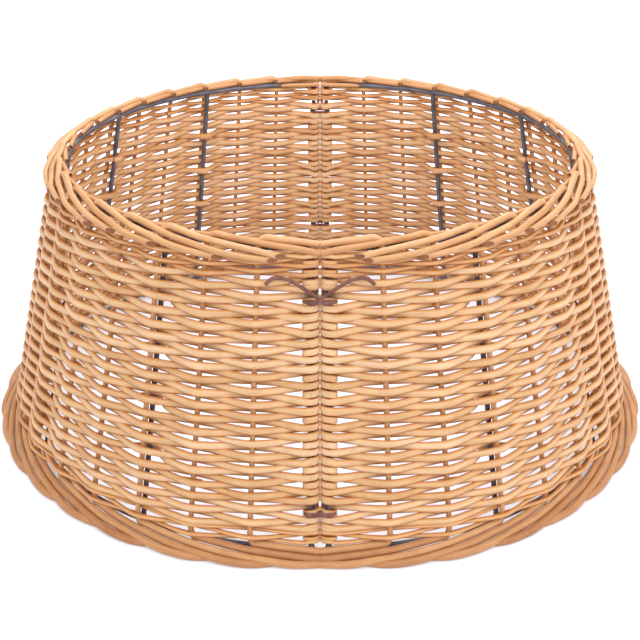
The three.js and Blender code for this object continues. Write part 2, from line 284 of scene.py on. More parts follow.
bpy.ops.object.select_all(action="DESELECT")
frame_parts = []
for rail in (FOOT_RAIL, RIM_RAIL):
    bpy.ops.mesh.primitive_torus_add(
        major_segments=RAIL_SEGMENTS, minor_segments=ROD_SIDES,
        major_radius=steel_radius(rail), minor_radius=STEEL_RADIUS,
        location=Vector(SHIFT) + Vector((0, 0, rail)))
    bpy.ops.object.mode_set(mode="EDIT")
    bpy.ops.mesh.select_all(action="SELECT")
    bpy.ops.mesh.bisect(plane_co=(SEAM_TO_ROD, 0, 0), plane_no=(1, 0, 0), use_fill=True,
                        clear_inner=True)
    bpy.ops.object.mode_set(mode="OBJECT")
    frame_parts.append(bpy.context.object)
for k in range(0, BAYS + 1, BAYS_PER_UPRIGHT):
    foot_end, rim_end = (Vector(wall(k, 0, rail)) for rail in (FOOT_RAIL, RIM_RAIL))
    rise = rim_end - foot_end
    bpy.ops.mesh.primitive_cylinder_add(
        vertices=ROD_SIDES, radius=STEEL_RADIUS, depth=rise.length,
        location=(foot_end + rim_end) / 2, rotation=rise.to_track_quat("Z", "Y").to_euler())
    frame_parts.append(bpy.context.object)
    for end, way in ((foot_end, rise.normalized()), (rim_end, -rise.normalized())):
        bpy.ops.mesh.primitive_cone_add(
            vertices=ROD_SIDES, radius1=STEEL_RADIUS + BEAD_FLARE,
            radius2=STEEL_RADIUS + BEAD_LIP, depth=BEAD_LENGTH,
            location=end + way * (BEAD_START + BEAD_LENGTH / 2),
            rotation=way.to_track_quat("Z", "Y").to_euler())
        frame_parts.append(bpy.context.object)
for part in frame_parts:
    part.select_set(True)
bpy.ops.object.join()
bpy.ops.object.transform_apply(location=True, rotation=True, scale=True)
bpy.ops.object.shade_smooth_by_angle(angle=SMOOTH_ANGLE)
frame_piece = bpy.context.object
frame_piece.data.materials.clear()
frame_piece.data.materials.append(steel_material)
place_pair(frame_piece, "steel_frame", "frame")

# Willow stakes: each whole rod stands outside the steel, 17 to a half. Its butt and its tip
# are bent over at the foot and the rim and run towards the front seam outside the stakes
# before it, so that the turned-down ends make the two rolled borders.
STAKE_RADIUS = 2.55 * MM
RIM_TAIL_RADIUS = 3.2 * MM
FOOT_TAIL_RADIUS = 3.7 * MM
CLEARANCE = 0.56 * MM
CAD_STAKE = 4.4 * MM
CAD_WEAVER = 3.4 * MM
RIM_BAY = RIM_RADIUS * math.pi / BAYS
FOOT_BAY = FOOT_RADIUS * math.pi / BAYS
PASS = (CAD_STAKE / 2 + CLEARANCE + CAD_WEAVER / 2) / (1 - CAD_STAKE / RIM_BAY)
EDGE_PASS = STEEL_RADIUS + CLEARANCE + CAD_WEAVER / 2
STAKE_OUT = EDGE_PASS + PASS
EDGE_EASE = [0, 0.54, 0.9, 1]
RIM_STEP = 9 * MM
FOOT_DROP = 3.5 * MM
FOOT_STEP = 6.1 * MM
CUT_SLANT = 1.7
FOOT_CUT_SLANT = 0.4
RIM_BORDER = 283.7 * MM
FOOT_BORDER = 14 * MM
RIM_TAIL_BAYS = 3.2
FOOT_TAIL_BAYS = 3.5
INNER_END_BAYS = 1.1
SEAM_TAIL = SEAM_TO_ROD - 0.4 * MM
WALL_UP = math.atan(LEAN)
END_BEVEL = 0.2
END_INSET = 0.9
STEPS_PER_KNOT = 6
WILLOW_GLOSS = 0.34
STAKE_SIDES = 12
END_ROOM = 0.12
FOOT_KNOT_PLACES = (3.1, 2.7, 2.3, 1.8, 1.3, 0.9, 0.5, 0.2)
RIM_KNOT_PLACES = (0.14, 0.4, 0.8, 1.3, 1.8, 2.3, 2.8)
UPRIGHT_FROM = FOOT_BORDER + 22 * MM
UPRIGHT_TO = RIM_BORDER - 26 * MM
UPRIGHT_KNOTS = 7
FOOT_BEND_TOP = FOOT_BORDER + 8 * MM
RIM_BEND_FROM = RIM_BORDER - 13 * MM
RIM_BEND_TOP = RIM_BORDER - 4.5 * MM
RIM_TRIMS = (0, 0.1, 0.3, 0.8)
STAKE_GIRTHS = (0.93, 1.05)
FOOT_SHADE_HEIGHT = 20 * MM
RIM_PALE_FROM = 258 * MM
RIM_PALE_RISE = 12 * MM
# Along a tail, by bays in front of its stake: steps out, girth, lean inward and drop in mm.
FOOT_STEPS_OUT = ([0, 1, 2, 2.7, 3.1, 3.5], [0, 1, 2, 2.75, 2.75, 2.15])
FOOT_GIRTHS = ([0, 0.5, 2.8, 3.1, 3.5], [0.9, 0.97, 1, 0.9, 0.45])
RIM_LEANS = ([0, 0.4, 1], [0.35, 0.3, 0])
RIM_STEPS_OUT = ([0.8, 1.5, 2.3], [0, 0.45, 1])
RIM_DROPS = ([0.15, 0.6, 1, 1.5, 2, 3.2], [0, 2, 3.9, 6, 8.4, 15])
RIM_BEND_DROP = 5
RIM_LIFT = 0.4


def outward(place):
    angle = angle_at(np.asarray(place, float), FOOT_RADIUS)
    return np.stack([np.sin(angle), -np.cos(angle), 0 * angle], -1)


def wall_up(place):
    rise = np.array([0, 0, math.cos(WALL_UP)])
    return rise - outward(place) * math.sin(WALL_UP)


def unit(v):
    return v / np.maximum(np.linalg.norm(v, axis=-1, keepdims=True), 1e-9)


def smooth_path(points, steps):
    """Catmull-Rom curve through rows of numbers, with that many steps to each span."""
    rows = np.asarray(points, float)
    rows = np.concatenate([2 * rows[:1] - rows[1:2], rows, 2 * rows[-1:] - rows[-2:-1]])
    share = np.arange(steps)[:, None] / steps
    spans = []
    for a, b, c, d in zip(rows, rows[1:], rows[2:], rows[3:]):
        spans.append(0.5 * (2 * b + (c - a) * share + (2 * a - 5 * b + 4 * c - d) * share ** 2
                            + (3 * b - a - 3 * c + d) * share ** 3))
    spans.append(rows[-2:-1])
    return np.concatenate(spans)


def rods_object(name, rods, sides, materials):
    """One mesh of swept rods. Each rod gives its points, the direction of its height, half
    thickness and half height at each point, tone, and whether it is a closed ring."""
    verts, faces, cut_faces, grain, tone, painted_flank_shade = [], [], [], [], [], []
    turn = 2 * math.pi * np.arange(sides) / sides
    for rod in rods:
        points = rod["points"]
        ring = rod.get("ring", False)
        if ring:
            along = unit(np.roll(points, -1, 0) - np.roll(points, 1, 0))
        else:
            along = unit(np.gradient(points, axis=0))
        across = unit(np.cross(rod["up"], along))
        up = np.cross(along, across)
        count = len(points)
        thick = np.broadcast_to(rod["thick"], count)
        high = np.broadcast_to(rod["high"], count)
        square = np.broadcast_to(rod.get("square", 1.0), count)[:, None]
        cos = np.sign(np.cos(turn)) * np.abs(np.cos(turn)) ** square * thick[:, None]
        sin = np.sign(np.sin(turn)) * np.abs(np.sin(turn)) ** square * high[:, None]
        body = (points[:, None] + across[:, None] * cos[:, :, None]
                + up[:, None] * sin[:, :, None])
        length = np.concatenate([[0], np.cumsum(np.linalg.norm(np.diff(points, axis=0), axis=1))])
        base = sum(len(v) for v in verts)
        verts.append(body.reshape(-1, 3))
        here = np.stack([np.repeat(length[:, None], sides, 1) + rod.get("seed", 0),
                         thick[:, None] * np.cos(turn), high[:, None] * np.sin(turn)], -1)
        grain.append(here.reshape(-1, 3))
        shade = np.broadcast_to(rod["tone"], count)
        tone.append(np.repeat(shade, sides))
        # Painted shade: the side value is largest on the upper and lower faces of a rod, where rows
        # lie on each other, and darkens the colour there.
        painted_flank_shade.append(np.tile(np.abs(np.sin(turn)) * rod.get("painted_flank_shade", 1), count))
        ring_ids = base + np.arange(count * sides).reshape(count, sides)
        nxt = np.roll(ring_ids, -1, 0) if ring else ring_ids[1:]
        now = ring_ids if ring else ring_ids[:-1]
        quads = np.stack([now, np.roll(now, -1, 1), np.roll(nxt, -1, 1), nxt], -1)
        faces.append(quads.reshape(-1, 4))
        if not ring:
            for end, sign in ((0, -1), (count - 1, 1)):
                bevel = END_BEVEL * min(thick[end], high[end])
                slant = rod.get("start_cut" if sign < 0 else "end_cut", 0)
                lean_by = slant * ((body[end] - points[end]) @ up[end] - high[end])[:, None]
                body[end] = body[end] - sign * along[end] * lean_by
                points[end] = body[end].mean(0)
                inner = ((body[end] - points[end]) * END_INSET + points[end]
                         + sign * along[end] * bevel)
                middle = points[end] + sign * along[end] * bevel
                first = sum(len(v) for v in verts)
                verts.append(np.concatenate([inner, middle[None]]))
                grain.append(np.concatenate([here[end], here[end].mean(0, keepdims=True)]))
                tone.append(np.full(sides + 1, shade[end]))
                painted_flank_shade.append(np.zeros(sides + 1))
                rim = first + np.arange(sides)
                old = ring_ids[end]
                if sign > 0:
                    side = np.stack([old, np.roll(old, -1), np.roll(rim, -1), rim], -1)
                    fan = np.stack([rim, np.roll(rim, -1), np.full(sides, first + sides)], -1)
                else:
                    side = np.stack([rim, np.roll(rim, -1), np.roll(old, -1), old], -1)
                    fan = np.stack([np.roll(rim, -1), rim, np.full(sides, first + sides)], -1)
                faces.append(side)
                cut_faces.append(fan)
    flat = [tuple(f) for group in faces for f in group.tolist()]
    smooth_count = len(flat)
    flat += [tuple(f) for group in cut_faces for f in group.tolist()]
    mesh = bpy.data.meshes.new(name)
    mesh.from_pydata(np.concatenate(verts).tolist(), [], flat)
    for material in materials:
        mesh.materials.append(material)
    smooth = np.ones(len(flat), bool)
    smooth[smooth_count:] = False
    mesh.polygons.foreach_set("use_smooth", smooth)
    slots = np.zeros(len(flat), np.int32)
    slots[smooth_count:] = len(materials) - 1
    mesh.polygons.foreach_set("material_index", slots)
    layer = mesh.attributes.new("grain", "FLOAT_VECTOR", "POINT")
    layer.data.foreach_set("vector", np.concatenate(grain).astype(np.float32).ravel())
    # The side layer holds the painted shade amount; round rods and cut ends get none.
    for layer_name, values in (("tone", tone), ("side", painted_flank_shade)):
        layer = mesh.attributes.new(layer_name, "FLOAT", "POINT")
        layer.data.foreach_set("value", np.concatenate(values).astype(np.float32))
    mesh.update()
    made = bpy.data.objects.new(name, mesh)
    bpy.context.collection.objects.link(made)
    return made


def stake_out(place):
    near = np.clip(np.minimum(place, BAYS - place), 0, 3)
    return STAKE_OUT * np.interp(near, [0, 1, 2, 3], EDGE_EASE)


def willow_material(name, base, light, dark, roughness):
    """Peeled, buffed willow: streaks along the rod, small dark specks, a tone to each rod,
    and painted shade, darker and redder, on the sides where rods lie on each other."""
    material, tree, shader = node_material(name, roughness)
    grain = tree.nodes.new("ShaderNodeAttribute")
    grain.attribute_name = "grain"
    tone = tree.nodes.new("ShaderNodeAttribute")
    tone.attribute_name = "tone"
    ground = add_ramp(tree, tone.outputs["Fac"], (
        (0.0, to_linear(*dark)), (0.5, to_linear(*base)), (1.0, to_linear(*light))))
    streak = add_noise(tree, grain.outputs["Vector"], 1, 4, 0.62, (26, 1500, 1500))
    streaked = add_ramp(tree, streak, ((0.3, (0.74, 0.7, 0.66)), (0.52, (1, 1, 1)),
                                       (0.75, (1.12, 1.13, 1.16))))
    colour = add_mix(tree, 0.8, ground, streaked, "MULTIPLY")
    blotch = add_noise(tree, grain.outputs["Vector"], 1, 2, 0.5, (60, 160, 160))
    blotched = add_ramp(tree, blotch, ((0.3, (0.86, 0.8, 0.74)), (0.6, (1.04, 1.03, 1.02))))
    colour = add_mix(tree, 0.75, colour, blotched, "MULTIPLY")
    # Painted shade: the side value darkens the rod towards red-brown on its upper and lower faces,
    # where rods lie on each other.
    side = tree.nodes.new("ShaderNodeAttribute")
    side.attribute_name = "side"
    painted_edge_shade = add_ramp(tree, side.outputs["Fac"], ((0.38, (1, 1, 1)), (0.95, (0.8, 0.53, 0.28))))
    colour = add_mix(tree, 1.0, colour, painted_edge_shade, "MULTIPLY")
    speck = add_noise(tree, grain.outputs["Vector"], 1, 2, 0.6, (330, 900, 900))
    speck_mask = add_ramp(tree, speck, ((0.69, (0, 0, 0)), (0.75, (0.75, 0.75, 0.75))))
    colour = add_mix(tree, speck_mask, colour, to_linear(128, 78, 44))
    tree.links.new(colour, shader.inputs["Base Color"])
    add_bump(tree, streak, 0.35, 0.5 * MM, shader)
    shader.inputs["Specular IOR Level"].default_value = WILLOW_GLOSS
    return material


stake_willow = willow_material("stake_willow", (200, 148, 100), (222, 176, 128),
                               (166, 107, 66), 0.46)
cut_end, cut_tree, cut_shader = node_material("cut_willow_end", 0.8)
cut_place = cut_tree.nodes.new("ShaderNodeTexCoord").outputs["Object"]
cut_rings = add_noise(cut_tree, cut_place, 900, 3, 0.6)
cut_colour = add_ramp(cut_tree, cut_rings, (
    (0.3, to_linear(112, 66, 42)), (0.6, to_linear(156, 100, 66)), (0.8, to_linear(186, 136, 94))))
cut_tree.links.new(cut_colour, cut_shader.inputs["Base Color"])
add_bump(cut_tree, cut_rings, 0.4, 0.4 * MM, cut_shader)


def round_rod(curve, **looks):
    """A round rod along rows of place, distance out, height and radius."""
    return dict(points=wall(curve[:, 0], curve[:, 1], curve[:, 2]), up=outward(curve[:, 0]),
                thick=curve[:, 3], high=curve[:, 3], painted_flank_shade=0, **looks)


def foot_knot(stake, p, radius):
    """Place, distance out, height and radius on a foot tail, p bays in front of its stake."""
    level = FOOT_BORDER - 0.6 * MM - FOOT_DROP * p
    out = stake_out(stake - p) + FOOT_STEP * np.interp(p, *FOOT_STEPS_OUT)
    radius = radius * np.interp(p, *FOOT_GIRTHS)
    return (stake - p, out, max(level, radius), radius)


def rim_knot(stake, p, radius):
    """The same on a rim tail: it bends over the rail, passes outside the next stake and
    stays against the wall after that."""
    drop = np.interp(p, *RIM_DROPS) + RIM_BEND_DROP * max(RIM_DROPS[0][0] - p, 0)
    out = (stake_out(stake - p) * (1 - np.interp(p, *RIM_LEANS))
           + RIM_STEP * np.interp(p, *RIM_STEPS_OUT))
    return (stake - p, out, RIM_BORDER + (RIM_LIFT - drop) * MM, radius)


def inner_end(stake):
    """The trimmed end of a tail that has come through under the border and lies on the top
    rail, where it shows from inside."""
    reach = min(INNER_END_BAYS, stake + SEAM_TAIL / RIM_BAY)
    shares = np.array([0.12, 0.35, 0.65, 1])
    knots = np.stack([stake - shares * reach,
                      np.array([4.0, 2.3, 0.8, -0.7]) * MM,
                      RIM_RAIL + np.array([5.5, 5.3, 5.1, 5.3]) * MM,
                      np.array([2.5, 2.5, 2.45, 2.3]) * MM], -1)
    return round_rod(smooth_path(knots, STEPS_PER_KNOT), tone=0.5, seed=7.0 + stake,
                     end_cut=-CUT_SLANT)


random.seed(11)
for stake in range(1, BAYS):
    rim_end = RIM_TAIL_BAYS - random.choice(RIM_TRIMS) - random.uniform(0, 0.15)
    foot_end = FOOT_TAIL_BAYS - random.uniform(0, 0.25)
    rim_cut = CUT_SLANT if rim_end < stake else 0
    foot_cut = FOOT_CUT_SLANT if foot_end < stake else 0
    rim_end = min(rim_end, stake + SEAM_TAIL / RIM_BAY)
    foot_end = min(foot_end, stake + SEAM_TAIL / FOOT_BAY)
    girth = random.uniform(*STAKE_GIRTHS)
    thick = FOOT_TAIL_RADIUS * girth
    sway = random.uniform(-0.5, 0.5) * MM
    knots = []
    foot_steps = [p for p in FOOT_KNOT_PLACES if p < foot_end - END_ROOM]
    for p in [foot_end] + foot_steps:
        shift = np.array([0, random.uniform(-0.4, 0.4), random.uniform(0, 0.5), 0]) * MM
        knots.append(foot_knot(stake, p, thick) + shift * min(p, 1))
    knots.append(foot_knot(stake, 0.06, thick * 0.97))
    knots.append((stake, stake_out(stake), FOOT_BEND_TOP, STAKE_RADIUS * girth))
    for z in np.linspace(UPRIGHT_FROM, UPRIGHT_TO, UPRIGHT_KNOTS):
        bow = sway * math.sin(math.pi * (z - FOOT_BORDER) / (RIM_BORDER - FOOT_BORDER))
        knots.append((stake + bow / RIM_BAY, stake_out(stake), z, STAKE_RADIUS * girth))
    knots.append((stake, stake_out(stake) * 0.9, RIM_BEND_FROM, STAKE_RADIUS * girth))
    thick = RIM_TAIL_RADIUS * girth
    knots.append((stake - 0.01, stake_out(stake) * 0.72, RIM_BEND_TOP, thick * 0.92))
    rim_steps = [p for p in RIM_KNOT_PLACES if p < rim_end - END_ROOM]
    for p in rim_steps + [rim_end]:
        shift = np.array([0, random.uniform(-0.5, 0.5), random.uniform(-0.5, 0.5), 0]) * MM
        knots.append(rim_knot(stake, p, thick * (1 - 0.04 * p)) + shift * min(p, 1))
    curve = smooth_path(knots, STEPS_PER_KNOT)
    height = curve[:, 2]
    # Painted shade: each stake's tone is darkened over its lowest 20 mm, near the floor; from 258
    # mm up it is made a little paler.
    tone = random.uniform(0.35, 0.75) - 0.3 * np.clip(1 - height / FOOT_SHADE_HEIGHT, 0, 1)
    tone = tone + 0.1 * np.clip((height - RIM_PALE_FROM) / RIM_PALE_RISE, 0, 1)
    rod = round_rod(curve, tone=tone, seed=random.uniform(0, 50), start_cut=foot_cut,
                    end_cut=rim_cut)
    piece = rods_object(f"right_stake_{stake:02d}", [rod, inner_end(stake)], STAKE_SIDES,
                        [stake_willow, cut_end])
    place_pair(piece, f"willow_stake_{stake:02d}", f"stake_{stake:02d}")

# Border fillers: short willow rods tucked into both borders at the back seam, where no
# further stake sends its tail. The tails over them hold them. On the outside, those that
# stand out past HINGE_REACH start HINGE_SWEEP from the seam, so that the hinge can open.
HINGE_ROOM = 2.2 * MM
HINGE_REACH = 6.8 * MM
HINGE_SWEEP = 15.4 * MM
MEETING_GAP = 0.7 * MM
FILLER_KNOTS = 8
FILLER_STEPS = 7
SHORTER_EACH = 0.06
for name, node, knot_of, radius, bay, count, tail, cut in (
        ("foot", "bottom", foot_knot, FOOT_TAIL_RADIUS, FOOT_BAY, 4, FOOT_TAIL_BAYS,
         FOOT_CUT_SLANT),
        ("rim", "top", rim_knot, RIM_TAIL_RADIUS, RIM_BAY, 3, RIM_TAIL_BAYS, CUT_SLANT)):
    rods = []
    for lead in range(count):
        stake = BAYS + lead
        reach = knot_of(stake, lead, radius)[1] + radius + HINGE_ROOM
        reach = MEETING_GAP if reach < HINGE_REACH else max(reach, HINGE_SWEEP)
        start = lead + (reach - SEAM_TO_ROD) / bay
        end = tail - SHORTER_EACH * lead
        knots = [knot_of(stake, start + (end - start) * share, radius)
                 for share in np.linspace(0, 1, FILLER_KNOTS)]
        rods.append(round_rod(smooth_path(knots, FILLER_STEPS), tone=0.42 + 0.1 * lead,
                              seed=3.0 + lead, end_cut=cut))
    if name == "rim":
        rods.append(inner_end(BAYS))
        past = (SEAM_TO_ROD - MEETING_GAP) / RIM_BAY
        knots = [(BAYS - back, out * MM, RIM_RAIL + rise * MM, girth * MM)
                 for back, out, rise, girth in ((-past, -4.9, 1.5, 2.4), (0, -5, 0.9, 2.5),
                                                (0.45, -4.8, 0.6, 2.4), (0.75, -4.6, 0.4, 2.3))]
        rods.append(round_rod(smooth_path(knots, STEPS_PER_KNOT), tone=0.5, seed=2.0,
                              end_cut=CUT_SLANT))
    piece = rods_object(f"right_{node}_filler", rods, STAKE_SIDES, [stake_willow, cut_end])
    place_pair(piece, f"{name}_border_filler", f"{node}_border_filler")

# Woven wall: thin whole willow rods woven in pairs of rows, in front of one stake and behind
# the next, turned round the steel edge rod at each seam, here and there with a turn more.
# They part a little round each leather lace. Buffed willow, paler than the stakes.
ROW_PITCH = 5.9 * MM
FIRST_ROW = 29.6 * MM
BAND_PAIRS = [4, 7, 7, 1]
WEAVER_THICK = 2.2 * MM
WEAVER_HIGH = 3.75 * MM
INNER_SINK = 0.9 * MM
BINDING_ROWS = 8
FRONT_LACES = [3, 35]
BACK_LACES = [7, 35]
SLOT_OPENING = 2.9 * MM
SLOT_ROWS = 3.5
SLOT_FADE = ([0, 1, 2], [1, 0.4, 0])
PUSH_FADE = ([0, 0.25, 0.6, 1.2], [1, 0.6, 0.15, 0])
RINGS_PER_BAY = 10
SEAM_GAP = 0.03 * MM
TURN_HIGH = 0.8
HALF_TURN_RISE = 3.45 * MM
PLAIN_RISE = 4.2 * MM
ROWS = 2 * sum(BAND_PAIRS)
SWING_CUT = 0.95
HUMP_BAYS = 0.5
TURN_GAP = 0.15 * MM
TURN_SIDE_POWER = 0.7
TURN_FRONT_POWER = 0.8
WEAVER_GIRTHS = (0.92, 1.08)
WEAVER_TONES = (0.32, 0.78)
WANDER_BAYS = (2.3, 3.7, 6.1)
BEHIND_SHARE = 0.9
BULGE_SHARE = 0.14
UNEVEN_SHARE = 0.02
ROW_INSET = 0.12
WEAVER_SIDES = 10
TURN_RINGS = 13
LONG_TURN_RINGS = 33
STUB_RINGS = 7
TURN_SQUARE = 0.4
JOINT_BEFORE = 0.16
JOINT_AFTER = 0.2
JOINT_SINK = 2.4 * MM
JOINT_TAPER_RINGS = 14
JOINT_TIP = 0.72
ROW_DRIFT = 0.6 * MM

weaver_willow = willow_material("weaving_willow", (223, 180, 132), (238, 207, 170),
                                (200, 146, 90), 0.44)


def slot_shift(row, place):
    """How far a row moves off the lace slots near the two seams."""
    near = np.minimum(place, BAYS - place)
    reach = np.interp(near, *SLOT_FADE)
    shift = np.zeros_like(near)
    for front, laces in ((True, FRONT_LACES), (False, BACK_LACES)):
        here = place < BAYS / 2 if front else place >= BAYS / 2
        for lace in laces:
            away = row - lace - 0.5
            share = max(1 - (abs(away) - 0.5) / SLOT_ROWS, 0)
            shift = shift + here * math.copysign(share, away) * SLOT_OPENING / 2
    return shift * reach


def edge_levels(laces, turns, seed):
    """How far each row lies off its even height at an edge rod, and the rows after which
    the rod goes once more round the steel: such a turn pushes its two rows apart. The rows
    beside a lace keep their height."""
    shifts = np.zeros(ROWS)
    wrapped = set()
    draw = random.Random(seed)
    bounds = [0] + [row for lace in laces for row in (lace, lace + 1)] + [ROWS - 1]
    for low, high in zip(bounds[::2], bounds[1::2]):
        levels = [0.0]
        for row in range(low, high):
            rise = PLAIN_RISE
            late = ROW_PITCH * (row - low) - levels[-1] > draw.uniform(-1, 1) * MM
            if row in turns and (late or row == high - 1):
                wrapped.add(row)
                rise = 3 * HALF_TURN_RISE
            levels.append(levels[-1] + rise)
        levels = np.array(levels) * ROW_PITCH * (high - low) / max(levels[-1], ROW_PITCH)
        shifts[low:high + 1] = levels - ROW_PITCH * np.arange(high - low + 1)
    return shifts, wrapped


BAND_STARTS = 2 * np.cumsum(BAND_PAIRS)
FRONT_SHIFTS, FRONT_TURNS = edge_levels(FRONT_LACES, range(0, ROWS, 2), seed=5)
BACK_SHIFTS, BACK_TURNS = edge_levels(
    BACK_LACES, [row for row in range(1, ROWS, 2) if row + 1 not in BAND_STARTS], seed=6)


def ripple(seed, place, size):
    """A slow wander along a row, the same each time for the same seed."""
    wave = np.random.default_rng(seed)
    total = np.zeros_like(place)
    for pitch in WANDER_BAYS:
        total += np.sin(place * 2 * math.pi / pitch + wave.uniform(0, 2 * math.pi))
    return size * total / 1.7


def row_points(row, forward, place, height, offset, drift):
    """One row from seam to seam: outside the even stakes going forward, outside the odd ones
    coming back. Now and then a row passes inside a steel upright and ties the wall to it."""
    side = 1 if forward else -1
    swing = side * np.arcsin(SWING_CUT * np.cos(math.pi * place)) / math.asin(SWING_CUT)
    near = np.clip(np.minimum(place, BAYS - place), 0, 1)
    reach = EDGE_PASS + (offset - EDGE_PASS) * near
    z = height(row, place) + drift - INNER_SINK * np.clip(-swing, 0, 1) * near
    out = stake_out(place) + swing * reach
    for k in range(BAYS_PER_UPRIGHT, BAYS, BAYS_PER_UPRIGHT):
        if height is weaver_height and row > 0 and (row + k % 2 + 7) % BINDING_ROWS == 0:
            hump = np.clip(1 - np.abs(place - k) / HUMP_BAYS, 0, 1)
            out = out - (hump ** 2 * (3 - 2 * hump)) * 2 * EDGE_PASS
    return wall(place, out, z)


def edge_tilt(place):
    """The way out of the wall, square to the edge rod, at the front or the back seam."""
    sign = 1 if place > 0 else -1
    return np.array([0, sign * math.cos(WALL_UP), math.sin(WALL_UP)])


def edge_turn(place, z_from, z_to, thick, turns, steps):
    """Points round an edge rod from its outer side past the seam, for half a turn plus whole
    turns, seen on the right half."""
    radius = STEEL_RADIUS + thick + TURN_GAP
    shares = np.linspace(0, 1, steps)
    turn = math.pi / 2 - (math.pi + 2 * math.pi * turns) * shares
    z = z_from + (z_to - z_from) * shares
    points = wall(place, 0, z)
    side = np.sign(np.cos(turn)) * np.abs(np.cos(turn)) ** TURN_SIDE_POWER
    front = np.sign(np.sin(turn)) * np.abs(np.sin(turn)) ** TURN_FRONT_POWER
    points[:, 0] -= (SEAM_TO_ROD - SEAM_GAP - thick) * side
    return points + edge_tilt(place) * (radius * front)[:, None]


def weave_rows(first_row, rows, height, offset, thick, high, seed, wrapped):
    """Willow rods of a run of rows, each about as long as a row, joined inside the wall."""
    draw = random.Random(seed)
    rods, runs = [], []
    inner = np.linspace(ROW_INSET, BAYS - ROW_INSET, BAYS * RINGS_PER_BAY + 1)

    def extend(points, place, thick_here, high_here, square=1.0):
        count = len(points)
        runs.append((points, wall_up(place), np.broadcast_to(thick_here, count),
                     np.broadcast_to(high_here, count), np.full(count, square)))

    def close_rod():
        points, up, thicks, highs, squares = (np.concatenate(parts) for parts in zip(*runs))
        runs.clear()
        rods.append(dict(points=points, up=up, thick=thicks, high=highs, square=squares,
                         tone=draw.uniform(*WEAVER_TONES), seed=draw.uniform(0, 90)))

    def level(row, end):
        return height(row, np.array([float(end)]))[0]

    z = level(first_row, BAYS)
    stub = edge_turn(BAYS, z, z, thick, 0, TURN_RINGS - 1)[:STUB_RINGS][::-1]
    extend(stub, np.full(STUB_RINGS, float(BAYS)), thick, high, TURN_SQUARE)
    for r in range(rows):
        row = first_row + r
        forward = r % 2 == 0
        place = inner[::-1] if forward else inner
        drift = ripple(1000 * seed + row // 2, place, ROW_DRIFT)
        points = row_points(row, forward, place, height, offset, drift)
        girth = draw.uniform(*WEAVER_GIRTHS)
        passing = np.abs(np.cos(math.pi * place))
        lens = (BEHIND_SHARE + BULGE_SHARE * passing ** 2
                + UNEVEN_SHARE * np.sin(place * 9 + seed + row))
        high_here = high * girth * lens
        thick_here = np.full(len(place), thick)
        joint = draw.randrange(2, BAYS - 3)
        if joint % 2 != int(forward):  # a joint is made where the row lies inside the wall
            joint += 1
        if forward:
            before = place > joint - JOINT_BEFORE
            after = place < joint + JOINT_AFTER
        else:
            before = place < joint + JOINT_BEFORE
            after = place > joint - JOINT_AFTER
        tail = np.count_nonzero(before)
        taper = np.interp(np.arange(tail), [0, tail - JOINT_TAPER_RINGS, tail - 1],
                          [1, 1, JOINT_TIP])
        extend(points[before], place[before], thick_here[before] * taper,
               high_here[before] * taper)
        close_rod()
        sunk = points[after].copy()
        lead = np.interp(np.arange(len(sunk)), [0, 5, 12], [1, 0.6, 0])
        middle = unit(sunk * np.array([1, 1, 0]) - SHIFT)
        sunk = sunk - middle * (lead * JOINT_SINK)[:, None]
        extend(sunk, place[after], thick_here[after], high_here[after])
        end = 0 if forward else BAYS
        z_here = level(row, end)
        if r < rows - 1:
            z_next = level(row + 1, end)
            extra = row in wrapped
            span = LONG_TURN_RINGS if extra else TURN_RINGS
            if forward:
                turn = edge_turn(end, z_here, z_next, thick, int(extra), span)
            else:
                turn = edge_turn(end, z_next, z_here, thick, int(extra), span)[::-1]
            extend(turn, np.full(span, float(end)), thick, high * (TURN_HIGH if extra else 1),
                   TURN_SQUARE)
        else:
            last = edge_turn(end, z_here, z_here, thick, 0, TURN_RINGS - 1)
            stub = last[:STUB_RINGS] if forward else last[::-1][:STUB_RINGS]
            extend(stub, np.full(STUB_RINGS, float(end)), thick, high, TURN_SQUARE)
            close_rod()
    return rods


def weaver_height(row, place):
    near = np.minimum(place, BAYS - place)
    pushed = np.where(place < BAYS / 2, FRONT_SHIFTS[row], BACK_SHIFTS[row])
    pushed = pushed * np.interp(near, *PUSH_FADE)
    return FIRST_ROW + ROW_PITCH * row + pushed + slot_shift(row, place)


first_row = 0
for band, pairs in enumerate(BAND_PAIRS, 1):
    rods = weave_rows(first_row, 2 * pairs, weaver_height, PASS, WEAVER_THICK, WEAVER_HIGH,
                      band, FRONT_TURNS | BACK_TURNS)
    piece = rods_object(f"right_weaving_{band}", rods, WEAVER_SIDES, [weaver_willow, cut_end])
    place_pair(piece, f"willow_weaving_{band}", f"weaving_{band}")
    first_row += 2 * pairs

# Wales: closely beaten rows of thinner willow that lock the weaving under the rim border
# and over the foot border. They turn once more round the edge rods after every row.
WALE_PITCH = 4.2 * MM
WALE_THICK = 2.1 * MM
WALE_HIGH = 2.2 * MM
CAD_WALE = 3.2 * MM
FOOT_WALE_ROWS = 3
RIM_WALE_ROWS = 5
FOOT_WALE_START = 16.6 * MM
RIM_WALE_START = 253.4 * MM
WALE_PASS = (CAD_STAKE / 2 + CLEARANCE + CAD_WALE / 2) / (1 - CAD_STAKE / RIM_BAY)
wale_willow = willow_material("wale_willow", (220, 168, 114), (238, 198, 148),
                              (190, 130, 80), 0.44)


def foot_wale_height(row, place):
    return FOOT_WALE_START + WALE_PITCH * row + slot_shift(row - FOOT_WALE_ROWS, place)


def rim_wale_height(row, place):
    return RIM_WALE_START + WALE_PITCH * row + slot_shift(row + ROWS, place)


for name, rows, height, seed in (("bottom_wale", FOOT_WALE_ROWS, foot_wale_height, 21),
                                 ("top_wale", RIM_WALE_ROWS, rim_wale_height, 22)):
    rods = weave_rows(0, rows, height, WALE_PASS, WALE_THICK, WALE_HIGH, seed, range(rows))
    piece = rods_object(f"right_{name}", rods, WEAVER_SIDES, [wale_willow, cut_end])
    place_pair(piece, f"willow_{name}", name)

